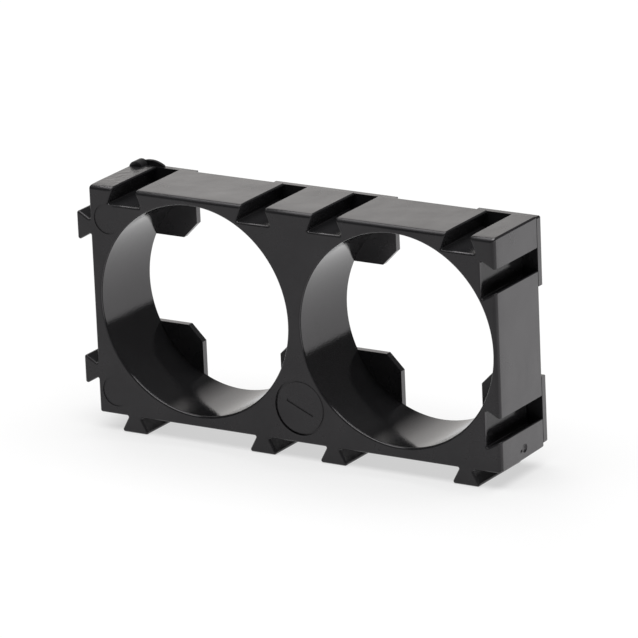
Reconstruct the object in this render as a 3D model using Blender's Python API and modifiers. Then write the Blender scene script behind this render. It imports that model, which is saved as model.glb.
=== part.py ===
"""Battery cell holder bracket: one moulded piece with two round seats side by side.

It stands on the tabs of its underside. The open ends of the seats face -Y, the row of cells runs along X and
+Z is up. The origin is under the middle of the whole piece. Sizes are in metres.
"""

import math

import bmesh
import bpy
from mathutils import Matrix, Vector

NAME = "cell_holder"

# Round seats, narrower at the stop end. The rounding of their front edge leans a little where it starts.
CELL_COUNT = 2
SEAT_FRONT_DIAMETER = 0.0189
SEAT_TAPER = 0.0005
SEAT_EDGE_RADIUS = 0.0002
SEAT_EDGE_LEAN = math.radians(12)

# The block around the seats. Its walls are measured at their thinnest, and the left wall and the floor,
# which carry the tabs, are thicker than those across from them.
WEB_THICKNESS = 0.0013
LEFT_WALL = 0.0008
TOP_WALL = 0.000725
FLOOR = 0.001025
BODY_DEPTH = 0.0073
UNDERSIDE_DRAFT = 0.0002
CORNER_RADIUS = 0.0002
EDGE_RADIUS = 0.0002

# Stop plates behind the corners of each cell. They sink a little into the back of the block, and
# end just below its top face and just short of its right face.
PLATE_BEHIND_BLOCK = 0.00075
PLATE_SINK = 0.00005
PLATE_IN_FROM_TABS = 0.0003
PLATE_BELOW_TOP = 0.0001
PLATE_SHORT_OF_RIGHT = 0.00003
CHANNEL_WIDTH = 0.008
PLATE_CHAMFER = 0.0014
PLATE_EDGE_RADIUS = 0.0002

# Dovetail tabs on the left and below, and the grooves on the right and above that take such tabs. Each cell
# has two along each side, whose middles are measured from the edges of its own part of the block. The lips of
# the side grooves reach further over the tab than those of the upper ones.
LEVEL_JOINT_TO_EDGE = 0.00355
UPRIGHT_JOINT_TO_EDGE = 0.003775
LOWER_TAB_HEIGHT = 0.0015
SIDE_TAB_HEIGHT = 0.0014
TAB_ROOT_WIDTH = 0.0012
TAB_TIP_WIDTH = 0.00285
TAB_ROOT_RADIUS = 0.00012
TAB_TIP_RADIUS = 0.00015
UPPER_LIP_PLAY = 0.0005
SIDE_LIP_PLAY = 0.00035
GROOVE_FLOOR_PLAY = 0.0003
GROOVE_END_PLAY = 0.00005
GROOVE_LIP_RADIUS = 0.0002
GROOVE_FLOOR_RADIUS = 0.00015

# Moulding marks: what is left of the torn gate, at the top left of the back, a ring on the web, two pin marks
GATE_WIDTH = 0.0027
GATE_HEIGHT = 0.0004
GATE_THICKNESS = 0.0003
GATE_ROOT = 0.0002
GATE_FROM_LEFT = 0.0016
GATE_FROM_BACK = 0.0003
GATE_LUMP_WIDTH = 0.0013
GATE_LUMP_HEIGHT = 0.00045
GATE_LUMP_THICKNESS = 0.0011
GATE_LUMP_FROM_LEFT = 0.0007
GATE_LUMP_OVERLAP = 0.0001
RING_OUTER_RADIUS = 0.0025
RING_WIDTH = 0.00022
RING_RIGHT_OF_WEB = 0.0003
RING_ABOVE_UNDERSIDE = 0.0032
PIN_MARK_RADIUS = 0.00135
PIN_MARK_FROM_LEFT = 0.00178
PIN_MARK_BELOW_TOP = 0.0029
PIN_MARK_ABOVE_UNDERSIDE = 0.0021
MARK_DEPTH = 0.00008

# How finely round shapes are cut
SEAT_SEGMENTS = 96
MARK_SEGMENTS = 32
CORNER_STEPS = 3
EDGE_STEPS = 2
GATE_STEPS = 8

# The least radius of an arc, how far a cutter runs past what it cuts, how close two points are to be one,
# and how level two faces are
SHARP_RADIUS = 0.00003
OVERRUN = 0.001
WELD = 1e-6
FLAT_ANGLE = math.radians(0.1)

CELL_PITCH = SEAT_FRONT_DIAMETER + WEB_THICKNESS
BODY_WIDTH = CELL_COUNT * CELL_PITCH
BODY_HEIGHT = FLOOR + SEAT_FRONT_DIAMETER + TOP_WALL
LEFT = -(BODY_WIDTH - SIDE_TAB_HEIGHT) / 2
RIGHT = LEFT + BODY_WIDTH
BOTTOM = LOWER_TAB_HEIGHT
TOP = BOTTOM + BODY_HEIGHT
TOTAL_DEPTH = BODY_DEPTH + PLATE_BEHIND_BLOCK
FRONT = -TOTAL_DEPTH / 2
BACK = FRONT + TOTAL_DEPTH
BODY_BACK = FRONT + BODY_DEPTH
PLATE_FRONT = BODY_BACK - PLATE_SINK
SEAT_Z = BOTTOM + FLOOR + SEAT_FRONT_DIAMETER / 2
WEB_X = LEFT + LEFT_WALL + SEAT_FRONT_DIAMETER + WEB_THICKNESS / 2

PLASTIC_COLOUR = (0.012, 0.012, 0.013, 1)
PLASTIC_ROUGHNESS = 0.35


def seat_x(cell):
    return LEFT + LEFT_WALL + SEAT_FRONT_DIAMETER / 2 + cell * CELL_PITCH


def joints_along(start, cell_length, count, to_edge):
    """Middles of the two tabs or grooves of each cell, along one side of the block."""
    edges = [start + cell * cell_length for cell in range(count)]
    return [edge + place for edge in edges for place in (to_edge, cell_length - to_edge)]


def new_collection(name):
    collection = bpy.data.collections.new(name)
    bpy.context.scene.collection.children.link(collection)
    return collection


def new_object(name, mesh, collection):
    made = bpy.data.objects.new(name, mesh)
    collection.objects.link(made)
    return made


def as_helper(made):
    made.hide_render = True
    made.display_type = "WIRE"
    return made


def rounded(corners, inset=0):
    """Points of an anticlockwise outline whose corners (x, z, radius) are arcs, set in all round by inset."""
    points = []
    for index, (x, z, radius) in enumerate(corners):
        corner = Vector((x, z))
        behind = (Vector(corners[index - 1][:2]) - corner).normalized()
        ahead = (Vector(corners[(index + 1) % len(corners)][:2]) - corner).normalized()
        half = behind.angle(ahead) / 2
        middle = (behind + ahead).normalized()
        outwards = math.copysign(1, ahead.cross(behind))
        corner += middle * outwards * inset / math.sin(half)
        if radius == 0:
            points.append(corner)
            continue
        rest = max(radius - outwards * inset, SHARP_RADIUS)
        centre = corner + middle * rest / math.sin(half)
        start = corner + behind * rest / math.tan(half) - centre
        end = corner + ahead * rest / math.tan(half) - centre
        turn = start.angle_signed(end)
        for step in range(CORNER_STEPS + 1):
            points.append(centre + Matrix.Rotation(-turn * step / CORNER_STEPS, 2) @ start)
    return points


def outline_curve(name, points, front, back):
    """A flat outline in X and Z as a curve object that fills from front to back."""
    curve = bpy.data.curves.new(name, "CURVE")
    curve.dimensions = "2D"
    curve.fill_mode = "BOTH"
    curve.extrude = (back - front) / 2
    spline = curve.splines.new("POLY")
    spline.points.add(len(points) - 1)
    for place, (x, z) in zip(spline.points, points):
        place.co = (x, z, 0, 1)
    spline.use_cyclic_u = True
    made = bpy.data.objects.new(name, curve)
    made.rotation_euler.x = math.radians(90)
    made.location.y = (front + back) / 2
    return made


def curve_as_mesh(curve_object, collection):
    """The curve as a closed mesh in world space: its caps are welded to its sides and are one face each."""
    collection.objects.link(curve_object)
    graph = bpy.context.evaluated_depsgraph_get()
    mesh = bpy.data.meshes.new_from_object(curve_object.evaluated_get(graph))
    mesh.transform(curve_object.matrix_world)
    work = bmesh.new()
    work.from_mesh(mesh)
    bmesh.ops.remove_doubles(work, verts=work.verts, dist=WELD)
    bmesh.ops.dissolve_limit(work, angle_limit=FLAT_ANGLE, verts=work.verts, edges=work.edges)
    bmesh.ops.recalc_face_normals(work, faces=work.faces)
    work.to_mesh(mesh)
    work.free()
    name = curve_object.name
    bpy.data.objects.remove(curve_object)
    return new_object(name, mesh, collection)


def turned(name, profile, x, z, collection, segments):
    """A solid turned about an axis along Y through x and z, from a profile of (radius, y), front to back.

    A profile that starts off the axis is a closed loop, and the solid is a ring.
    """
    mesh = bpy.data.meshes.new(name)
    vertices = [(radius, 0, -y) for radius, y in profile]
    edges = [(index, index + 1) for index in range(len(profile) - 1)]
    if profile[0][0] > 0:
        edges.append((len(profile) - 1, 0))
    mesh.from_pydata(vertices, edges, [])
    made = new_object(name, mesh, collection)
    made.rotation_euler.x = math.radians(90)
    made.location = (x, 0, z)
    screw = made.modifiers.new("Turn", "SCREW")
    screw.axis = "Z"
    screw.steps = segments
    screw.render_steps = segments
    screw.use_merge_vertices = True
    screw.merge_threshold = WELD
    return made


def dovetail(middle, base, end, base_half, end_half, base_radius, end_radius):
    """Four corners (along, out, radius) of a dovetail that runs from its base line to its end line."""
    return [
        (middle - base_half, base, base_radius),
        (middle - end_half, end, end_radius),
        (middle + end_half, end, end_radius),
        (middle + base_half, base, base_radius),
    ]


def tab_corners(middle, wall, height):
    """A tab that stands out of a wall towards lower coordinates."""
    return dovetail(
        middle,
        wall,
        wall - height,
        TAB_ROOT_WIDTH / 2,
        TAB_TIP_WIDTH / 2,
        TAB_ROOT_RADIUS,
        TAB_TIP_RADIUS,
    )


def groove_corners(middle, wall, tab_height, lip_play):
    """A groove into a wall that faces higher coordinates, with play all round the tab it takes."""
    return dovetail(
        middle,
        wall,
        wall - tab_height - GROOVE_END_PLAY,
        TAB_ROOT_WIDTH / 2 + lip_play,
        TAB_TIP_WIDTH / 2 + GROOVE_FLOOR_PLAY,
        GROOVE_LIP_RADIUS,
        GROOVE_FLOOR_RADIUS,
    )


def upright(corners):
    """Corners along a side wall, from corners along a level one."""
    return [(out, along, radius) for along, out, radius in corners]


def block_corners():
    """The outline of the block, anticlockwise from its lower left corner."""
    level = joints_along(LEFT, CELL_PITCH, CELL_COUNT, LEVEL_JOINT_TO_EDGE)
    rising = joints_along(BOTTOM, BODY_HEIGHT, 1, UPRIGHT_JOINT_TO_EDGE)
    corners = [(LEFT, BOTTOM, CORNER_RADIUS)]
    for middle in level:
        corners += tab_corners(middle, BOTTOM, LOWER_TAB_HEIGHT)
    corners.append((RIGHT, BOTTOM, CORNER_RADIUS))
    for middle in rising:
        corners += upright(groove_corners(middle, RIGHT, SIDE_TAB_HEIGHT, SIDE_LIP_PLAY))
    corners.append((RIGHT, TOP, CORNER_RADIUS))
    for middle in reversed(level):
        corners += reversed(groove_corners(middle, TOP, LOWER_TAB_HEIGHT, UPPER_LIP_PLAY))
    corners.append((LEFT, TOP, CORNER_RADIUS))
    for middle in reversed(rising):
        corners += reversed(upright(tab_corners(middle, LEFT, SIDE_TAB_HEIGHT)))
    return corners


def with_draft(point, y):
    """The floor rises towards the back, while the tips of its tabs stay level."""
    x, z = point
    nearness = max(0, 1 - abs(z - BOTTOM) / LOWER_TAB_HEIGHT)
    return (x, y, z + UNDERSIDE_DRAFT * nearness * (y - FRONT) / BODY_DEPTH)


def block(collection):
    """The solid block with its dovetails: outlines from front to back, joined side by side.

    The first ones are set in less and less, which rounds the front edges.
    """
    corners = block_corners()
    layers = []
    for step in range(EDGE_STEPS + 1):
        angle = math.pi / 2 * step / EDGE_STEPS
        inset = EDGE_RADIUS * (1 - math.sin(angle))
        layers.append((inset, FRONT + EDGE_RADIUS * (1 - math.cos(angle))))
    layers.append((0, BODY_BACK))
    work = bmesh.new()
    rings = []
    for inset, y in layers:
        rings.append([work.verts.new(with_draft(point, y)) for point in rounded(corners, inset)])
    for ring, deeper in zip(rings, rings[1:]):
        for index in range(len(ring)):
            work.faces.new((ring[index - 1], ring[index], deeper[index], deeper[index - 1]))
    work.faces.new(rings[0])
    work.faces.new(rings[-1])
    bmesh.ops.recalc_face_normals(work, faces=work.faces)
    mesh = bpy.data.meshes.new(NAME)
    work.to_mesh(mesh)
    work.free()
    return new_object(NAME, mesh, collection)


def seat_cutter(cell, collection):
    """The round seat of one cell: a rounded front edge, then a slow taper to the stop plates."""
    front_radius = SEAT_FRONT_DIAMETER / 2
    rear_radius = front_radius - SEAT_TAPER / 2
    centre_radius = front_radius + SEAT_EDGE_RADIUS
    profile = []
    for step in range(EDGE_STEPS + 1):
        angle = SEAT_EDGE_LEAN + (math.pi / 2 - SEAT_EDGE_LEAN) * step / EDGE_STEPS
        radius = centre_radius - SEAT_EDGE_RADIUS * math.sin(angle)
        profile.append((radius, FRONT + SEAT_EDGE_RADIUS * (1 - math.cos(angle))))
    mouth = profile[0][0] + (profile[0][1] - FRONT + OVERRUN) / math.tan(SEAT_EDGE_LEAN)
    profile = [(0, FRONT - OVERRUN), (mouth, FRONT - OVERRUN)] + profile
    profile.append((rear_radius, BODY_BACK))
    profile.append((rear_radius, BODY_BACK + OVERRUN))
    profile.append((0, BODY_BACK + OVERRUN))
    return as_helper(turned(f"seat_cutter_{cell}", profile, seat_x(cell), SEAT_Z, collection, SEAT_SEGMENTS))


def plate_outline(column, upper):
    """One stop plate: the chamfered corners face the seats, the others reach the outer walls."""
    first = column == 0
    last = column == CELL_COUNT
    left = LEFT + PLATE_IN_FROM_TABS if first else seat_x(column - 1) + CHANNEL_WIDTH / 2
    right = RIGHT - PLATE_SHORT_OF_RIGHT if last else seat_x(column) - CHANNEL_WIDTH / 2
    inner = SEAT_Z + CHANNEL_WIDTH / 2 if upper else SEAT_Z - CHANNEL_WIDTH / 2
    outer = TOP - PLATE_BELOW_TOP if upper else BOTTOM + UNDERSIDE_DRAFT + PLATE_IN_FROM_TABS
    towards_outer = PLATE_CHAMFER if upper else -PLATE_CHAMFER
    corners = [(right, outer, CORNER_RADIUS if last else 0), (left, outer, CORNER_RADIUS if first else 0)]
    if first:
        corners.append((left, inner, 0))
    else:
        corners += [(left, inner + towards_outer, 0), (left + PLATE_CHAMFER, inner, 0)]
    if last:
        corners.append((right, inner, 0))
    else:
        corners += [(right - PLATE_CHAMFER, inner, 0), (right, inner + towards_outer, 0)]
    return rounded(corners if upper else list(reversed(corners)))


def stop_plate(column, upper, collection):
    row = "upper" if upper else "lower"
    curve = outline_curve(f"stop_plate_{row}_{column}", plate_outline(column, upper), PLATE_FRONT, BACK)
    made = curve_as_mesh(curve, collection)
    work = bmesh.new()
    work.from_mesh(made.data)
    rear = [edge for edge in work.edges if all(abs(end.co.y - BACK) < WELD for end in edge.verts)]
    rim = [edge for edge in rear if any(abs(face.normal.y) < 0.5 for face in edge.link_faces)]
    bmesh.ops.bevel(
        work, geom=rim, offset=PLATE_EDGE_RADIUS, segments=EDGE_STEPS, profile=0.5, affect="EDGES"
    )
    work.to_mesh(made.data)
    work.free()
    return as_helper(made)


def gate_stub(name, middle, width, height, rear, thickness, collection):
    """A low crescent on the top edge of the back, part of what is left of the torn gate."""
    half = width / 2
    radius = (half**2 + height**2) / (2 * height)
    reach = math.asin(half / radius)
    centre = TOP + height - radius
    points = [(middle - half, TOP - GATE_ROOT), (middle + half, TOP - GATE_ROOT)]
    for step in range(GATE_STEPS + 1):
        angle = reach * (1 - 2 * step / GATE_STEPS)
        points.append((middle + radius * math.sin(angle), centre + radius * math.cos(angle)))
    curve = outline_curve(name, points, rear - thickness, rear)
    return as_helper(curve_as_mesh(curve, collection))


def gate_rim(collection):
    """The wide thin crescent of the gate."""
    middle = LEFT + GATE_FROM_LEFT
    rear = BACK - GATE_FROM_BACK
    return gate_stub("gate_rim", middle, GATE_WIDTH, GATE_HEIGHT, rear, GATE_THICKNESS, collection)


def gate_lump(collection):
    """The narrow thick crescent in front of the rim, at the corner of the block."""
    middle = LEFT + GATE_LUMP_FROM_LEFT
    rear = BACK - GATE_FROM_BACK - GATE_THICKNESS + GATE_LUMP_OVERLAP
    return gate_stub(
        "gate_lump", middle, GATE_LUMP_WIDTH, GATE_LUMP_HEIGHT, rear, GATE_LUMP_THICKNESS, collection
    )


def ring_cutter(collection):
    """The round line on the web below the two seats."""
    inner = RING_OUTER_RADIUS - RING_WIDTH
    profile = [
        (inner, FRONT - OVERRUN),
        (RING_OUTER_RADIUS, FRONT - OVERRUN),
        (RING_OUTER_RADIUS, FRONT + MARK_DEPTH),
        (inner, FRONT + MARK_DEPTH),
    ]
    x = WEB_X + RING_RIGHT_OF_WEB
    z = BOTTOM + RING_ABOVE_UNDERSIDE
    return as_helper(turned("ring_cutter", profile, x, z, collection, MARK_SEGMENTS))


def pin_mark_cutter(name, z, collection):
    """A shallow round recess where an ejector pin pushed the piece out of its mould."""
    profile = [
        (0, FRONT - OVERRUN),
        (PIN_MARK_RADIUS, FRONT - OVERRUN),
        (PIN_MARK_RADIUS, FRONT + MARK_DEPTH),
        (0, FRONT + MARK_DEPTH),
    ]
    return as_helper(turned(name, profile, LEFT + PIN_MARK_FROM_LEFT, z, collection, MARK_SEGMENTS))


def combine(made, operation, other):
    boolean = made.modifiers.new(other.name, "BOOLEAN")
    boolean.operation = operation
    boolean.object = other


def black_plastic():
    material = bpy.data.materials.new("black_plastic")
    material.use_nodes = True
    shader = material.node_tree.nodes["Principled BSDF"]
    shader.inputs["Base Color"].default_value = PLASTIC_COLOUR
    shader.inputs["Roughness"].default_value = PLASTIC_ROUGHNESS
    shader.inputs["Metallic"].default_value = 0
    return material


def main():
    for old in list(bpy.data.objects):
        bpy.data.objects.remove(old)
    parts = new_collection("battery_cell_holder")
    helpers = new_collection("helpers")
    holder = block(parts)
    for cell in range(CELL_COUNT):
        combine(holder, "DIFFERENCE", seat_cutter(cell, helpers))
    for column in range(CELL_COUNT + 1):
        for upper in (False, True):
            combine(holder, "UNION", stop_plate(column, upper, helpers))
    combine(holder, "UNION", gate_rim(helpers))
    combine(holder, "UNION", gate_lump(helpers))
    combine(holder, "DIFFERENCE", ring_cutter(helpers))
    upper_mark_z = TOP - PIN_MARK_BELOW_TOP
    combine(holder, "DIFFERENCE", pin_mark_cutter("upper_pin_mark", upper_mark_z, helpers))
    lower_mark_z = BOTTOM + PIN_MARK_ABOVE_UNDERSIDE
    combine(holder, "DIFFERENCE", pin_mark_cutter("lower_pin_mark", lower_mark_z, helpers))
    holder.data.materials.append(black_plastic())


main()
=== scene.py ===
"""Looks of the battery cell holder bracket.

It holds the finely moulded surface, the finishes of its black plastic, the floor, the light and
the camera.
"""

import math

import bmesh
import bpy
from mathutils import Matrix, Vector


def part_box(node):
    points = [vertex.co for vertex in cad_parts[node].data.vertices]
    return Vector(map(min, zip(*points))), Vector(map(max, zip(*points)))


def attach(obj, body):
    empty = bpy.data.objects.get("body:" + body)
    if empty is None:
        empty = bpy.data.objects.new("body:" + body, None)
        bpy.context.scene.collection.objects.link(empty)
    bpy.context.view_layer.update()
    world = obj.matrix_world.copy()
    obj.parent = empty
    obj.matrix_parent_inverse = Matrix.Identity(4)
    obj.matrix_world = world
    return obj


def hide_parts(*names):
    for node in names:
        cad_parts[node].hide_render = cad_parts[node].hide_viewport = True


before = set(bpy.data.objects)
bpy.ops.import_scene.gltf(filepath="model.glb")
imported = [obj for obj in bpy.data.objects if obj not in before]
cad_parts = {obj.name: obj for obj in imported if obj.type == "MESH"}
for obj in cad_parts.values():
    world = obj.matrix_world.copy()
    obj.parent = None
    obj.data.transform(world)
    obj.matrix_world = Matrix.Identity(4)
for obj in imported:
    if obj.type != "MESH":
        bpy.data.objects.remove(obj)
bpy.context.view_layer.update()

# Sizes in metres, the CAD model's own: the seats and the block round them
CELL_COUNT = 2
SEAT_FRONT_DIAMETER = 0.0189
SEAT_TAPER = 0.0005
SEAT_EDGE_RADIUS = 0.0002
WEB_THICKNESS = 0.0013
LEFT_WALL = 0.0008
TOP_WALL = 0.000725
FLOOR = 0.001025
BODY_DEPTH = 0.0073
UNDERSIDE_DRAFT = 0.0002
CORNER_RADIUS = 0.0002
EDGE_RADIUS = 0.0002

# The stop plates behind the block
PLATE_BEHIND_BLOCK = 0.00075
PLATE_IN_FROM_TABS = 0.0003
PLATE_BELOW_TOP = 0.0001
PLATE_SHORT_OF_RIGHT = 0.00003
CHANNEL_WIDTH = 0.008
PLATE_CHAMFER = 0.0014
PLATE_EDGE_RADIUS = 0.0002

# The dovetail tabs and grooves
LEVEL_JOINT_TO_EDGE = 0.00355
UPRIGHT_JOINT_TO_EDGE = 0.003775
LOWER_TAB_HEIGHT = 0.0015
SIDE_TAB_HEIGHT = 0.0014
TAB_ROOT_WIDTH = 0.0012
TAB_TIP_WIDTH = 0.00285
TAB_ROOT_RADIUS = 0.00012
UPPER_LIP_PLAY = 0.0005
SIDE_LIP_PLAY = 0.00035
GROOVE_FLOOR_PLAY = 0.0003
GROOVE_END_PLAY = 0.00005
GROOVE_FLOOR_RADIUS = 0.00015

# The torn gate, the mould insert's ring and the pin marks
GATE_WIDTH = 0.0027
GATE_HEIGHT = 0.0004
GATE_THICKNESS = 0.0003
GATE_ROOT = 0.0002
GATE_FROM_LEFT = 0.0016
GATE_FROM_BACK = 0.0003
GATE_LUMP_WIDTH = 0.0013
GATE_LUMP_HEIGHT = 0.00045
GATE_LUMP_THICKNESS = 0.0011
GATE_LUMP_FROM_LEFT = 0.0007
GATE_LUMP_OVERLAP = 0.0001
RING_OUTER_RADIUS = 0.0025
RING_WIDTH = 0.00022
RING_RIGHT_OF_WEB = 0.0003
RING_ABOVE_UNDERSIDE = 0.0032
PIN_MARK_RADIUS = 0.00135
PIN_MARK_FROM_LEFT = 0.00178
PIN_MARK_BELOW_TOP = 0.0029
PIN_MARK_ABOVE_UNDERSIDE = 0.0021
MARK_DEPTH = 0.00008

# Sizes that the CAD model leaves out or has a little different: soft upper and right edges, a slight
# crown of the faces behind them, the plates' sink, the rounding of seats and joints, a ring that fades
# out, the slot in it, and a nick of two pits (y from the middle of the block, height above its
# underside, radius)
SEAT_EDGE_LEAN = math.radians(6)
SOFT_EDGE_RADIUS = 0.0004
CROWN_DEPTH = 0.0018
CROWN_DROP = 0.00004
PLATE_SINK = 0.00002
TAB_TIP_RADIUS = 0.0002
UPPER_LIP_RADIUS = 0.00016
SIDE_LIP_RADIUS = 0.00008
RING_TILT = math.radians(2.2)
SLOT_LENGTH = 0.0028
SLOT_WIDTH = 0.00024
SLOT_TURN = math.radians(24)
PIT_DEPTH = 0.00014
SIDE_PITS = ((0.00036, 0.0011, 0.0004), (-0.00024, 0.00098, 0.00016))

# How finely round shapes are cut, and the small lengths that the cuts need
SEAT_SEGMENTS = 256
MARK_SEGMENTS = 96
CORNER_STEPS = 6
EDGE_STEPS = 5
CROWN_STEPS = 4
PIT_SUBDIVISIONS = 4
GATE_STEPS = 16
SHARP_RADIUS = 0.00003
OVERRUN = 0.001
WELD = 1e-6
FLAT_ANGLE = math.radians(0.1)
SHARP_ANGLE = math.radians(32)
STAND_UP = math.radians(90)
ROUND_PROFILE = 0.5
SHADING_WEIGHT = 100

# Shares of a face's normal along an axis, from which a face counts as turned that way
PLATE_SIDE_ALONG_DEPTH = 0.5
FRONT_ALONG_DEPTH = 0.7
SEAT_EDGE_ALONG_DEPTH = 0.8
GATE_TOP_UPWARDS = 0.9
OUTER_FACE_OUTWARDS = 0.993

# No groove starts nearer than this to an end of its side of the block
JOINTS_IN_FROM_ENDS = 0.001

# The block stands where the CAD node stands
NODE_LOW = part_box("cell_holder")[0]
CELL_PITCH = SEAT_FRONT_DIAMETER + WEB_THICKNESS
BODY_WIDTH = CELL_COUNT * CELL_PITCH
BODY_HEIGHT = FLOOR + SEAT_FRONT_DIAMETER + TOP_WALL
LEFT = NODE_LOW.x + SIDE_TAB_HEIGHT
RIGHT = LEFT + BODY_WIDTH
BOTTOM = NODE_LOW.z + LOWER_TAB_HEIGHT
TOP = BOTTOM + BODY_HEIGHT
FRONT = NODE_LOW.y
BODY_BACK = FRONT + BODY_DEPTH
BACK = BODY_BACK + PLATE_BEHIND_BLOCK
PLATE_FRONT = BODY_BACK - PLATE_SINK
SEAT_Z = BOTTOM + FLOOR + SEAT_FRONT_DIAMETER / 2
WEB_X = LEFT + LEFT_WALL + SEAT_FRONT_DIAMETER + WEB_THICKNESS / 2

# The camera looks at the middle of the object from the photograph's side
CAMERA_TARGET = Vector((0.00084, 0.0001, 0.01142))
CAMERA_DISTANCE = 0.547
CAMERA_AZIMUTH = math.radians(32.18)
CAMERA_ELEVATION = math.radians(17.45)
CAMERA_ROLL = math.radians(2.46)
CAMERA_LENS = 360.12
CAMERA_SENSOR = 36
CAMERA_CLIP_START = 0.05
CAMERA_CLIP_END = 20

# White paper just below the tabs. Its own white is mixed in for camera, gloss and glass rays.
PAPER_SIZE = 8
PAPER_GAP = 0.00001
PAPER_SHADE = 0.95
PAPER_WHITE_SHARE = 0.6

# A dim room, a lamp overhead, and a glowing panel behind the object that fades out towards one side
ROOM_STRENGTH = 0.08
LAMP_AZIMUTH = 0
LAMP_ELEVATION = 90
LAMP_DISTANCE = 1.2
LAMP_SIZE = 1.6
LAMP_POWER = 22.4
PANEL_AZIMUTH = -142
PANEL_ELEVATION = 20
PANEL_DISTANCE = 1.0
PANEL_WIDTH = 1.0
PANEL_HEIGHT = 0.8
PANEL_COLOUR = (1, 0.98, 0.955, 1)
PANEL_FADE = (-0.36, -0.1)
PANEL_STRENGTHS = (0.03, 1.01)

# The two shades between which the black of the plastic wanders, and the tint of its sheen
DARK_SHADE = (0.0115, 0.0113, 0.0122)
PALE_SHADE = (0.0195, 0.0192, 0.0202)
SHEEN_TINT = (1.0, 0.965, 0.995, 1.0)

# Scale, detail and roughness of each noise, and the spans of values that shade and gloss follow
SHADE_NOISE = (150, 6, 0.6)
SHADE_SPAN = (0.35, 0.7)
GLOSS_NOISE = (420, 5, 0.6)
GLOSS_SPAN = (0.3, 0.7)
WAVE_NOISE = (260, 2, 0.4)
WAVE_STRENGTH = 0.5
FINE_GRAIN_NOISE = (9000, 3, 0.5)
COARSE_GRAIN_NOISE = (1800, 3, 0.5)
GRAIN_STRENGTH = 0.25

# Each grain with its height: that of the whole moulding, and the coarser one at the torn gate
FINE_GRAIN = (FINE_GRAIN_NOISE, 0.00002)
COARSE_GRAIN = (COARSE_GRAIN_NOISE, 0.00028)


def seat_x(cell):
    return LEFT + LEFT_WALL + SEAT_FRONT_DIAMETER / 2 + cell * CELL_PITCH


def joints_along(start, cell_length, count, to_edge):
    """Middles of the two tabs or grooves of each cell, along one side of the block."""
    edges = [start + cell * cell_length for cell in range(count)]
    return [edge + place for edge in edges for place in (to_edge, cell_length - to_edge)]


def new_object(name, mesh):
    made = bpy.data.objects.new(name, mesh)
    bpy.context.scene.collection.objects.link(made)
    return made


def rounded(corners, inset=0):
    """Points of an anticlockwise outline, set in all round. Its corners (x, z, radius) become arcs."""
    points = []
    for index, (x, z, radius) in enumerate(corners):
        corner = Vector((x, z))
        behind = (Vector(corners[index - 1][:2]) - corner).normalized()
        ahead = (Vector(corners[(index + 1) % len(corners)][:2]) - corner).normalized()
        half = behind.angle(ahead) / 2
        middle = (behind + ahead).normalized()
        outwards = math.copysign(1, ahead.cross(behind))
        corner += middle * outwards * inset / math.sin(half)
        if radius == 0:
            points.append(corner)
            continue
        rest = max(radius - outwards * inset, SHARP_RADIUS)
        centre = corner + middle * rest / math.sin(half)
        start = corner + behind * rest / math.tan(half) - centre
        end = corner + ahead * rest / math.tan(half) - centre
        turn = start.angle_signed(end)
        for step in range(CORNER_STEPS + 1):
            points.append(centre + Matrix.Rotation(-turn * step / CORNER_STEPS, 2) @ start)
    return points


def outline_curve(name, points, front, back):
    """A flat outline in X and Z as a curve object that fills from front to back."""
    curve = bpy.data.curves.new(name, "CURVE")
    curve.dimensions = "2D"
    curve.fill_mode = "BOTH"
    curve.extrude = (back - front) / 2
    spline = curve.splines.new("POLY")
    spline.points.add(len(points) - 1)
    for place, (x, z) in zip(spline.points, points):
        place.co = (x, z, 0, 1)
    spline.use_cyclic_u = True
    made = new_object(name, curve)
    made.rotation_euler.x = STAND_UP
    made.location.y = (front + back) / 2
    return made


def curve_as_mesh(curve_object):
    """The curve as a closed mesh in world space. Its caps are one face each, welded to the sides."""
    graph = bpy.context.evaluated_depsgraph_get()
    mesh = bpy.data.meshes.new_from_object(curve_object.evaluated_get(graph))
    mesh.transform(curve_object.matrix_world)
    work = bmesh.new()
    work.from_mesh(mesh)
    bmesh.ops.remove_doubles(work, verts=work.verts, dist=WELD)
    bmesh.ops.dissolve_limit(work, angle_limit=FLAT_ANGLE, verts=work.verts, edges=work.edges)
    bmesh.ops.recalc_face_normals(work, faces=work.faces)
    work.to_mesh(mesh)
    work.free()
    name = curve_object.name
    bpy.data.objects.remove(curve_object)
    return new_object(name, mesh)


def turned(name, profile, x, z, segments):
    """A solid turned about an axis along Y through x and z, from a profile (radius, y)."""
    mesh = bpy.data.meshes.new(name)
    vertices = [(radius, 0, -y) for radius, y in profile]
    edges = [(index, index + 1) for index in range(len(profile) - 1)]
    if profile[0][0] > 0:
        edges.append((len(profile) - 1, 0))
    mesh.from_pydata(vertices, edges, [])
    made = new_object(name, mesh)
    made.rotation_euler.x = STAND_UP
    made.location = (x, 0, z)
    screw = made.modifiers.new("Turn", "SCREW")
    screw.axis = "Z"
    screw.steps = segments
    screw.render_steps = segments
    screw.use_merge_vertices = True
    screw.merge_threshold = WELD
    return made


def dovetail(middle, base, end, base_half, end_half, base_radius, end_radius):
    """Four corners (along, out, radius) of a dovetail that runs from its base line to its end line."""
    return [
        (middle - base_half, base, base_radius),
        (middle - end_half, end, end_radius),
        (middle + end_half, end, end_radius),
        (middle + base_half, base, base_radius),
    ]


def tab_corners(middle, wall, height):
    """A tab that stands out of a wall towards lower coordinates."""
    return dovetail(
        middle,
        wall,
        wall - height,
        TAB_ROOT_WIDTH / 2,
        TAB_TIP_WIDTH / 2,
        TAB_ROOT_RADIUS,
        TAB_TIP_RADIUS,
    )


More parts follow.
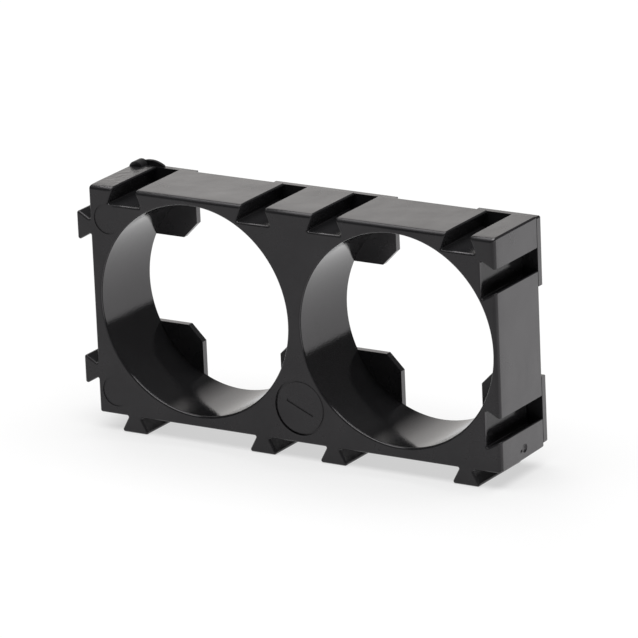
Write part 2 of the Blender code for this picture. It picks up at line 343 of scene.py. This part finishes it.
def groove_corners(middle, wall, tab_height, lip_play, lip_radius, lowered):
    """A groove into a wall that faces higher coordinates, with play all round the tab it takes."""
    depth = tab_height + GROOVE_END_PLAY
    root_half = TAB_ROOT_WIDTH / 2 + lip_play
    floor_half = TAB_TIP_WIDTH / 2 + GROOVE_FLOOR_PLAY
    lip_half = root_half + (floor_half - root_half) * lowered / depth
    return dovetail(
        middle,
        wall - lowered,
        wall - depth,
        lip_half,
        floor_half,
        lip_radius,
        GROOVE_FLOOR_RADIUS,
    )


def top_groove(middle, lowered):
    return groove_corners(middle, TOP, LOWER_TAB_HEIGHT, UPPER_LIP_PLAY, UPPER_LIP_RADIUS, lowered)


def side_groove(middle, lowered):
    """Its lips are sharper and reach further over the tab than those of a top groove."""
    return groove_corners(middle, RIGHT, SIDE_TAB_HEIGHT, SIDE_LIP_PLAY, SIDE_LIP_RADIUS, lowered)


def upright(corners):
    """Corners along a side wall, from corners along a level one."""
    return [(out, along, radius) for along, out, radius in corners]


def block_corners(lowered):
    """The block's outline, anticlockwise from its lower left, with top and right faces lowered."""
    level = joints_along(LEFT, CELL_PITCH, CELL_COUNT, LEVEL_JOINT_TO_EDGE)
    rising = joints_along(BOTTOM, BODY_HEIGHT, 1, UPRIGHT_JOINT_TO_EDGE)
    corners = [(LEFT, BOTTOM, CORNER_RADIUS)]
    for middle in level:
        corners += tab_corners(middle, BOTTOM, LOWER_TAB_HEIGHT)
    corners.append((RIGHT - lowered, BOTTOM, CORNER_RADIUS))
    for middle in rising:
        corners += upright(side_groove(middle, lowered))
    corners.append((RIGHT - lowered, TOP - lowered, CORNER_RADIUS))
    for middle in reversed(level):
        corners += reversed(top_groove(middle, lowered))
    corners.append((LEFT, TOP - lowered, CORNER_RADIUS))
    for middle in reversed(rising):
        corners += reversed(upright(tab_corners(middle, LEFT, SIDE_TAB_HEIGHT)))
    return corners


def with_draft(point, y):
    """The floor rises towards the back, while the tips of its tabs stay level."""
    x, z = point
    nearness = max(0, 1 - abs(z - BOTTOM) / LOWER_TAB_HEIGHT)
    return (x, y, z + UNDERSIDE_DRAFT * nearness * (y - FRONT) / BODY_DEPTH)


def arc_depth(radius, step):
    """How deep behind a face a step of its rounded edge lies."""
    return radius * (1 - math.cos(math.pi / 2 * step / EDGE_STEPS))


def arc_inset(radius, depth):
    """How far a rounded edge is set in at a depth behind its face."""
    if depth >= radius:
        return 0
    return radius - math.sqrt(radius**2 - (radius - depth) ** 2)


def soft_inset(depth):
    """How far the top and right faces are set in: a wide rounded edge, then a slight crown."""
    crown = CROWN_DROP * max(0, 1 - depth / CROWN_DEPTH) ** 2
    return arc_inset(SOFT_EDGE_RADIUS, depth) + crown


def block_layers():
    """Depth behind the front, inset all round, and how much more the top and right faces are set in."""
    depths = {arc_depth(EDGE_RADIUS, step) for step in range(EDGE_STEPS + 1)}
    depths |= {arc_depth(SOFT_EDGE_RADIUS, step) for step in range(EDGE_STEPS + 1)}
    rest = CROWN_DEPTH - SOFT_EDGE_RADIUS
    depths |= {SOFT_EDGE_RADIUS + rest * (step + 1) / CROWN_STEPS for step in range(CROWN_STEPS)}
    layers = []
    for depth in sorted(depths):
        inset = arc_inset(EDGE_RADIUS, depth)
        layers.append((depth, inset, soft_inset(depth) - inset))
    for step in reversed(range(EDGE_STEPS + 1)):
        depth = arc_depth(EDGE_RADIUS, step)
        layers.append((BODY_DEPTH - depth, arc_inset(EDGE_RADIUS, depth), 0))
    return layers


def block():
    """The solid block with its dovetails: outlines from front to back, joined side by side."""
    work = bmesh.new()
    rings = []
    for depth, inset, lowered in block_layers():
        points = rounded(block_corners(lowered), inset)
        rings.append([work.verts.new(with_draft(point, FRONT + depth)) for point in points])
    for ring, deeper in zip(rings, rings[1:]):
        for index in range(len(ring)):
            work.faces.new((ring[index - 1], ring[index], deeper[index], deeper[index - 1]))
    work.faces.new(rings[0])
    work.faces.new(rings[-1])
    bmesh.ops.recalc_face_normals(work, faces=work.faces)
    mesh = bpy.data.meshes.new("block")
    work.to_mesh(mesh)
    work.free()
    return new_object("block", mesh)


def seat_cutter(cell):
    """The round seat of one cell: a rounded front edge, then a slow taper to the stop plates."""
    front_radius = SEAT_FRONT_DIAMETER / 2
    rear_radius = front_radius - SEAT_TAPER / 2
    centre_radius = front_radius + SEAT_EDGE_RADIUS
    profile = []
    for step in range(EDGE_STEPS + 1):
        angle = SEAT_EDGE_LEAN + (math.pi / 2 - SEAT_EDGE_LEAN) * step / EDGE_STEPS
        radius = centre_radius - SEAT_EDGE_RADIUS * math.sin(angle)
        profile.append((radius, FRONT + SEAT_EDGE_RADIUS * (1 - math.cos(angle))))
    mouth = profile[0][0] + (profile[0][1] - FRONT + OVERRUN) / math.tan(SEAT_EDGE_LEAN)
    profile = [(0, FRONT - OVERRUN), (mouth, FRONT - OVERRUN)] + profile
    profile.append((rear_radius, BODY_BACK))
    profile.append((rear_radius, BODY_BACK + OVERRUN))
    profile.append((0, BODY_BACK + OVERRUN))
    return turned(f"seat_cutter_{cell}", profile, seat_x(cell), SEAT_Z, SEAT_SEGMENTS)


def plate_outline(column, upper):
    """One stop plate: the chamfered corners face the seats, the others reach the outer walls."""
    first = column == 0
    last = column == CELL_COUNT
    left = LEFT + PLATE_IN_FROM_TABS if first else seat_x(column - 1) + CHANNEL_WIDTH / 2
    right = RIGHT - PLATE_SHORT_OF_RIGHT if last else seat_x(column) - CHANNEL_WIDTH / 2
    inner = SEAT_Z + CHANNEL_WIDTH / 2 if upper else SEAT_Z - CHANNEL_WIDTH / 2
    outer = TOP - PLATE_BELOW_TOP if upper else BOTTOM + UNDERSIDE_DRAFT + PLATE_IN_FROM_TABS
    towards_outer = PLATE_CHAMFER if upper else -PLATE_CHAMFER
    right_radius = CORNER_RADIUS if last else 0
    left_radius = CORNER_RADIUS if first else 0
    corners = [(right, outer, right_radius), (left, outer, left_radius)]
    if first:
        corners.append((left, inner, 0))
    else:
        corners += [(left, inner + towards_outer, 0), (left + PLATE_CHAMFER, inner, 0)]
    if last:
        corners.append((right, inner, 0))
    else:
        corners += [(right - PLATE_CHAMFER, inner, 0), (right, inner + towards_outer, 0)]
    return rounded(corners if upper else list(reversed(corners)))


def stop_plate(column, upper):
    """A stop plate with a rounded rear rim."""
    row = "upper" if upper else "lower"
    outline = plate_outline(column, upper)
    made = curve_as_mesh(outline_curve(f"stop_plate_{row}_{column}", outline, PLATE_FRONT, BACK))
    work = bmesh.new()
    work.from_mesh(made.data)
    rear = [edge for edge in work.edges if all(abs(end.co.y - BACK) < WELD for end in edge.verts)]
    rim = [
        edge
        for edge in rear
        if any(abs(face.normal.y) < PLATE_SIDE_ALONG_DEPTH for face in edge.link_faces)
    ]
    bmesh.ops.bevel(
        work,
        geom=rim,
        offset=PLATE_EDGE_RADIUS,
        segments=EDGE_STEPS,
        profile=ROUND_PROFILE,
        affect="EDGES",
    )
    work.to_mesh(made.data)
    work.free()
    return made


def gate_stub(name, middle, width, height, rear, thickness):
    """A low crescent on the top edge of the back, part of what is left of the torn gate."""
    half = width / 2
    radius = (half**2 + height**2) / (2 * height)
    reach = math.asin(half / radius)
    centre = TOP + height - radius
    points = [(middle - half, TOP - GATE_ROOT), (middle + half, TOP - GATE_ROOT)]
    for step in range(GATE_STEPS + 1):
        angle = reach * (1 - 2 * step / GATE_STEPS)
        points.append((middle + radius * math.sin(angle), centre + radius * math.cos(angle)))
    return curve_as_mesh(outline_curve(name, points, rear - thickness, rear))


def gate_rim():
    """The wide thin crescent of the gate."""
    rear = BACK - GATE_FROM_BACK
    return gate_stub("gate_rim", LEFT + GATE_FROM_LEFT, GATE_WIDTH, GATE_HEIGHT, rear, GATE_THICKNESS)


def gate_lump():
    """The narrow thick crescent in front of the rim, at the corner of the block."""
    middle = LEFT + GATE_LUMP_FROM_LEFT
    rear = BACK - GATE_FROM_BACK - GATE_THICKNESS + GATE_LUMP_OVERLAP
    return gate_stub("gate_lump", middle, GATE_LUMP_WIDTH, GATE_LUMP_HEIGHT, rear, GATE_LUMP_THICKNESS)


def ring_place():
    return WEB_X + RING_RIGHT_OF_WEB, BOTTOM + RING_ABOVE_UNDERSIDE


def ring_cutter():
    """The round line of a mould insert, deepest at the lower left and fading out opposite."""
    inner = RING_OUTER_RADIUS - RING_WIDTH
    sink = MARK_DEPTH + RING_OUTER_RADIUS * math.sin(RING_TILT) / 2
    profile = [
        (inner, -OVERRUN),
        (RING_OUTER_RADIUS, -OVERRUN),
        (RING_OUTER_RADIUS, sink),
        (inner, sink),
    ]
    x, z = ring_place()
    made = turned("ring_cutter", profile, x, z, MARK_SEGMENTS)
    made.location.y = FRONT
    tilt = Matrix.Rotation(RING_TILT, 4, Vector((1, 0, -1)).normalized())
    made.rotation_euler = (tilt @ made.rotation_euler.to_matrix().to_4x4()).to_euler()
    return made


def slot_cutter():
    """The plain slot by which the insert is turned."""
    x, z = ring_place()
    along = Vector((math.cos(SLOT_TURN), -math.sin(SLOT_TURN))) * SLOT_LENGTH / 2
    across = Vector((math.sin(SLOT_TURN), math.cos(SLOT_TURN))) * SLOT_WIDTH / 2
    middle = Vector((x, z))
    points = [
        middle - along - across,
        middle + along - across,
        middle + along + across,
        middle - along + across,
    ]
    return curve_as_mesh(outline_curve("slot_cutter", points, FRONT - OVERRUN, FRONT + MARK_DEPTH))


def pin_mark_cutter(name, z):
    """A shallow round recess where an ejector pin pushed the piece out of its mould."""
    profile = [
        (0, FRONT - OVERRUN),
        (PIN_MARK_RADIUS, FRONT - OVERRUN),
        (PIN_MARK_RADIUS, FRONT + MARK_DEPTH),
        (0, FRONT + MARK_DEPTH),
    ]
    return turned(name, profile, LEFT + PIN_MARK_FROM_LEFT, z, MARK_SEGMENTS)


def pit_cutter(name, place, radius):
    """A small round pit in the right face, cut by a ball that mostly stands out of it."""
    mesh = bpy.data.meshes.new(name)
    ball = (radius**2 + PIT_DEPTH**2) / (2 * PIT_DEPTH)
    work = bmesh.new()
    bmesh.ops.create_icosphere(work, subdivisions=PIT_SUBDIVISIONS, radius=ball)
    work.to_mesh(mesh)
    work.free()
    made = new_object(name, mesh)
    made.location = Vector(place) + Vector((ball - PIT_DEPTH, 0, 0))
    return made


def combine(made, operation, other, used):
    """Cuts another object from the first one or joins it on, and notes it as used."""
    boolean = made.modifiers.new(other.name, "BOOLEAN")
    boolean.operation = operation
    boolean.object = other
    used.append(other)


def merged(body, used):
    """The welded mesh that the body's cuts and unions leave. The objects that it used are removed."""
    graph = bpy.context.evaluated_depsgraph_get()
    mesh = bpy.data.meshes.new_from_object(body.evaluated_get(graph))
    for old in used:
        bpy.data.objects.remove(old)
    work = bmesh.new()
    work.from_mesh(mesh)
    bmesh.ops.remove_doubles(work, verts=work.verts, dist=WELD)
    bmesh.ops.dissolve_degenerate(work, edges=work.edges, dist=WELD)
    work.to_mesh(mesh)
    work.free()
    return mesh


def holder():
    """The whole moulded piece as one closed mesh."""
    body = block()
    used = [body]
    for cell in range(CELL_COUNT):
        combine(body, "DIFFERENCE", seat_cutter(cell), used)
    for column in range(CELL_COUNT + 1):
        for upper in (False, True):
            combine(body, "UNION", stop_plate(column, upper), used)
    combine(body, "UNION", gate_rim(), used)
    combine(body, "UNION", gate_lump(), used)
    combine(body, "DIFFERENCE", ring_cutter(), used)
    combine(body, "DIFFERENCE", slot_cutter(), used)
    pin_marks = [
        ("upper_pin_mark", TOP - PIN_MARK_BELOW_TOP),
        ("lower_pin_mark", BOTTOM + PIN_MARK_ABOVE_UNDERSIDE),
    ]
    for name, z in pin_marks:
        combine(body, "DIFFERENCE", pin_mark_cutter(name, z), used)
    for index, (y, up, radius) in enumerate(SIDE_PITS):
        place = (RIGHT, (FRONT + BODY_BACK) / 2 + y, BOTTOM + up)
        combine(body, "DIFFERENCE", pit_cutter(f"pit_{index}", place, radius), used)
    mesh = merged(body, used)
    mesh.name = "moulded_holder"
    mesh.shade_smooth()
    mesh.set_sharp_from_angle(angle=SHARP_ANGLE)
    made = new_object("moulded_holder", mesh)
    weighted = made.modifiers.new("Even shading", "WEIGHTED_NORMAL")
    weighted.keep_sharp = True
    weighted.weight = SHADING_WEIGHT
    return made


def spread(nodes, values, results):
    """A node that maps a span of values onto a span of results."""
    made = nodes.new("ShaderNodeMapRange")
    made.inputs["From Min"].default_value = values[0]
    made.inputs["From Max"].default_value = values[1]
    made.inputs["To Min"].default_value = results[0]
    made.inputs["To Max"].default_value = results[1]
    return made


def black_plastic(name, index, roughness, wave_height, grain=FINE_GRAIN, paleness=1):
    """Black moulded plastic of a refractive index, whose roughness wanders between two values."""
    material = bpy.data.materials.new(name)
    material.use_nodes = True
    nodes = material.node_tree.nodes
    links = material.node_tree.links
    shader = nodes["Principled BSDF"]
    shader.inputs["Metallic"].default_value = 0
    shader.inputs["IOR"].default_value = index
    shader.inputs["Specular Tint"].default_value = SHEEN_TINT
    place = nodes.new("ShaderNodeTexCoord")

    def noise(kind):
        scale, detail, sharpness = kind
        made = nodes.new("ShaderNodeTexNoise")
        made.inputs["Scale"].default_value = scale
        made.inputs["Detail"].default_value = detail
        made.inputs["Roughness"].default_value = sharpness
        links.new(place.outputs["Object"], made.inputs["Vector"])
        return made.outputs["Fac"]

    def bump(kind, strength, height):
        made = nodes.new("ShaderNodeBump")
        made.inputs["Strength"].default_value = strength
        made.inputs["Distance"].default_value = height
        links.new(noise(kind), made.inputs["Height"])
        return made

    # A paleness above one raises both shades, which paints light on the plastic.
    shade = nodes.new("ShaderNodeValToRGB")
    shades = (DARK_SHADE, PALE_SHADE)
    for stop, position, colour in zip(shade.color_ramp.elements, SHADE_SPAN, shades):
        stop.position = position
        stop.color = (*(Vector(colour) * paleness), 1)
    links.new(noise(SHADE_NOISE), shade.inputs["Fac"])
    links.new(shade.outputs["Color"], shader.inputs["Base Color"])
    gloss = spread(nodes, GLOSS_SPAN, roughness)
    links.new(noise(GLOSS_NOISE), gloss.inputs["Value"])
    links.new(gloss.outputs["Result"], shader.inputs["Roughness"])
    grain_noise, grain_height = grain
    fine = bump(grain_noise, GRAIN_STRENGTH, grain_height)
    waves = bump(WAVE_NOISE, WAVE_STRENGTH, wave_height)
    links.new(fine.outputs["Normal"], waves.inputs["Normal"])
    links.new(waves.outputs["Normal"], shader.inputs["Normal"])
    return material


def side_plastic_painted_reflection():
    """Satin, for every face that has no other finish. Its high refractive index brightens the
    reflections on the top and right faces, which is painted light.
    """
    return black_plastic("side_plastic_painted_reflection", index=1.82, roughness=(0.2, 0.28), wave_height=0.00018)


def joint_plastic_painted_light():
    """Smooth, for the tabs and grooves. Its low refractive index dims the reflections on the tabs'
    sides, which is painted shade, and its paler base colour is painted light in the grooves.
    """
    return black_plastic(
        "joint_plastic_painted_light", index=1.42, roughness=(0.08, 0.13), wave_height=0.00005, paleness=1.4
    )


def seat_plastic():
    """Glossy, as the seats come off polished mould cores."""
    return black_plastic("seat_plastic", index=1.6, roughness=(0.07, 0.11), wave_height=0.00004)


def gate_plastic():
    """Grainy, for the top of the block beside the torn gate."""
    return black_plastic(
        "gate_plastic", index=1.62, roughness=(0.16, 0.3), wave_height=0.0002, grain=COARSE_GRAIN
    )


def torn_plastic():
    """Dull and rough, for what is left of the gate."""
    return black_plastic(
        "torn_plastic", index=1.3, roughness=(0.4, 0.6), wave_height=0.0003, grain=COARSE_GRAIN
    )


def front_plastic_painted_shade():
    """Duller than the sides: a little rougher, and a low refractive index dims its reflections, which
    paints shade on the front faces.
    """
    return black_plastic("front_plastic_painted_shade", index=1.38, roughness=(0.24, 0.34), wave_height=0.00014)


def faces_front(face):
    """Whether a face looks to the front, as the block's own face and the front of each tab do."""
    return face.normal.y < -FRONT_ALONG_DEPTH


def in_joint(face):
    """Whether a face is a side of a tab, or a wall, floor or rounded lip of a groove."""
    if abs(face.normal.y) > FRONT_ALONG_DEPTH:
        return False
    x, _, z = face.center
    if z < BOTTOM - WELD or x < LEFT - WELD:
        return True
    top_depth = TOP - z
    right_depth = RIGHT - x
    over_top_grooves = LEFT + JOINTS_IN_FROM_ENDS < x < RIGHT - JOINTS_IN_FROM_ENDS
    beside_side_grooves = BOTTOM + JOINTS_IN_FROM_ENDS < z < TOP - JOINTS_IN_FROM_ENDS
    if over_top_grooves and top_depth < LOWER_TAB_HEIGHT + GROOVE_END_PLAY + WELD:
        return top_depth > SOFT_EDGE_RADIUS or face.normal.z < OUTER_FACE_OUTWARDS
    if beside_side_grooves and right_depth < SIDE_TAB_HEIGHT + GROOVE_END_PLAY + WELD:
        return right_depth > SOFT_EDGE_RADIUS or face.normal.x < OUTER_FACE_OUTWARDS
    return False


def in_seat(face):
    """Whether a face is part of the wall of a round seat."""
    x, y, z = face.center
    if y > BODY_BACK or abs(face.normal.y) > SEAT_EDGE_ALONG_DEPTH:
        return False
    reach = min(math.hypot(x - seat_x(cell), z - SEAT_Z) for cell in range(CELL_COUNT))
    return abs(reach - SEAT_FRONT_DIAMETER / 2) < SEAT_TAPER / 2 + WELD


def at_gate(face):
    """Whether a face is the top of the block beside the torn gate."""
    on_top = face.normal.z > GATE_TOP_UPWARDS and face.center.z > TOP - SOFT_EDGE_RADIUS
    return on_top and face.center.x < LEFT + LEVEL_JOINT_TO_EDGE


def torn(face):
    """Whether a face is part of what is left of the gate."""
    return face.center.z > TOP + WELD


def paint(piece):
    """Gives each face the last finish of the list that it belongs to."""
    kinds = [
        (side_plastic_painted_reflection(), None),
        (joint_plastic_painted_light(), in_joint),
        (seat_plastic(), in_seat),
        (gate_plastic(), at_gate),
        (torn_plastic(), torn),
        (front_plastic_painted_shade(), faces_front),
    ]
    piece.data.materials.clear()
    for material, _ in kinds:
        piece.data.materials.append(material)
    for face in piece.data.polygons:
        for index, (_, belongs) in enumerate(kinds):
            if belongs and belongs(face):
                face.material_index = index


def light_path_seen(nodes, links):
    """One for rays that the camera, a reflection or a refraction sends, and zero for the others."""
    path = nodes.new("ShaderNodeLightPath")
    first = nodes.new("ShaderNodeMath")
    first.operation = "ADD"
    links.new(path.outputs["Is Camera Ray"], first.inputs[0])
    links.new(path.outputs["Is Glossy Ray"], first.inputs[1])
    second = nodes.new("ShaderNodeMath")
    second.operation = "ADD"
    second.use_clamp = True
    links.new(first.outputs[0], second.inputs[0])
    links.new(path.outputs["Is Transmission Ray"], second.inputs[1])
    return second.outputs[0]


def room():
    """The dim surroundings."""
    made = bpy.data.worlds.new("studio")
    bpy.context.scene.world = made
    made.use_nodes = True
    background = made.node_tree.nodes["Background"]
    background.inputs["Color"].default_value = (1, 1, 1, 1)
    background.inputs["Strength"].default_value = ROOM_STRENGTH


def flat_mesh(name, width, height):
    """A rectangle that lies about the origin."""
    right = width / 2
    top = height / 2
    mesh = bpy.data.meshes.new(name)
    corners = [(-right, -top, 0), (right, -top, 0), (right, top, 0), (-right, top, 0)]
    mesh.from_pydata(corners, [], [(0, 1, 2, 3)])
    return new_object(name, mesh)


def paper():
    """The white floor, which keeps the object's shadow."""
    made = flat_mesh("floor", PAPER_SIZE, PAPER_SIZE)
    made.location.z = NODE_LOW.z - PAPER_GAP
    material = bpy.data.materials.new("floor_paper")
    material.use_nodes = True
    nodes = material.node_tree.nodes
    links = material.node_tree.links
    nodes.clear()
    matt = nodes.new("ShaderNodeBsdfDiffuse")
    matt.inputs["Color"].default_value = (PAPER_SHADE, PAPER_SHADE, PAPER_SHADE, 1)
    white = nodes.new("ShaderNodeEmission")
    share = nodes.new("ShaderNodeMath")
    share.operation = "MULTIPLY"
    share.inputs[1].default_value = PAPER_WHITE_SHARE
    links.new(light_path_seen(nodes, links), share.inputs[0])
    mix = nodes.new("ShaderNodeMixShader")
    links.new(share.outputs[0], mix.inputs["Fac"])
    links.new(matt.outputs[0], mix.inputs[1])
    links.new(white.outputs[0], mix.inputs[2])
    out = nodes.new("ShaderNodeOutputMaterial")
    links.new(mix.outputs[0], out.inputs["Surface"])
    made.data.materials.append(material)


def facing(made, azimuth, elevation, distance):
    """Stands an object off the camera's target, facing it. The angles are in degrees."""
    turn = math.radians(azimuth)
    lift = math.radians(elevation)
    towards = Vector((
        math.sin(turn) * math.cos(lift),
        -math.cos(turn) * math.cos(lift),
        math.sin(lift),
    ))
    made.location = CAMERA_TARGET + towards * distance
    made.rotation_euler = towards.to_track_quat("Z", "Y").to_euler()


def side_panel():
    """The glowing panel, which the top faces and the seats mirror."""
    made = flat_mesh("side_panel", PANEL_WIDTH, PANEL_HEIGHT)
    facing(made, PANEL_AZIMUTH, PANEL_ELEVATION, PANEL_DISTANCE)
    material = bpy.data.materials.new("side_panel")
    material.use_nodes = True
    nodes = material.node_tree.nodes
    links = material.node_tree.links
    nodes.clear()
    glow = nodes.new("ShaderNodeEmission")
    glow.inputs["Color"].default_value = PANEL_COLOUR
    place = nodes.new("ShaderNodeTexCoord")
    split = nodes.new("ShaderNodeSeparateXYZ")
    links.new(place.outputs["Object"], split.inputs[0])
    fade = spread(nodes, PANEL_FADE, PANEL_STRENGTHS)
    links.new(split.outputs["X"], fade.inputs["Value"])
    links.new(fade.outputs["Result"], glow.inputs["Strength"])
    out = nodes.new("ShaderNodeOutputMaterial")
    links.new(glow.outputs[0], out.inputs["Surface"])
    made.data.materials.append(material)


def overhead_lamp():
    """A square lamp right above the object."""
    lamp = bpy.data.lights.new("overhead", "AREA")
    lamp.shape = "SQUARE"
    lamp.size = LAMP_SIZE
    lamp.energy = LAMP_POWER
    facing(new_object("overhead", lamp), LAMP_AZIMUTH, LAMP_ELEVATION, LAMP_DISTANCE)


def camera():
    """The camera at the photograph's viewing angle, turned about its own axis by its roll."""
    made = new_object("camera", bpy.data.cameras.new("camera"))
    back = Vector((
        math.sin(CAMERA_AZIMUTH) * math.cos(CAMERA_ELEVATION),
        -math.cos(CAMERA_AZIMUTH) * math.cos(CAMERA_ELEVATION),
        math.sin(CAMERA_ELEVATION),
    ))
    level = Vector((math.cos(CAMERA_AZIMUTH), math.sin(CAMERA_AZIMUTH), 0))
    right = Matrix.Rotation(-CAMERA_ROLL, 3, back) @ level
    up = back.cross(right)
    turn = Matrix((right, up, back)).transposed()
    made.matrix_world = Matrix.LocRotScale(CAMERA_TARGET + back * CAMERA_DISTANCE, turn, None)
    made.data.sensor_width = CAMERA_SENSOR
    made.data.lens = CAMERA_LENS
    made.data.clip_start = CAMERA_CLIP_START
    made.data.clip_end = CAMERA_CLIP_END
    bpy.context.scene.camera = made


def main():
    bpy.context.scene.view_settings.view_transform = "Standard"
    camera()
    room()
    paper()
    side_panel()
    overhead_lamp()
    piece = holder()
    paint(piece)
    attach(piece, "root")
    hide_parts("cell_holder")


main()
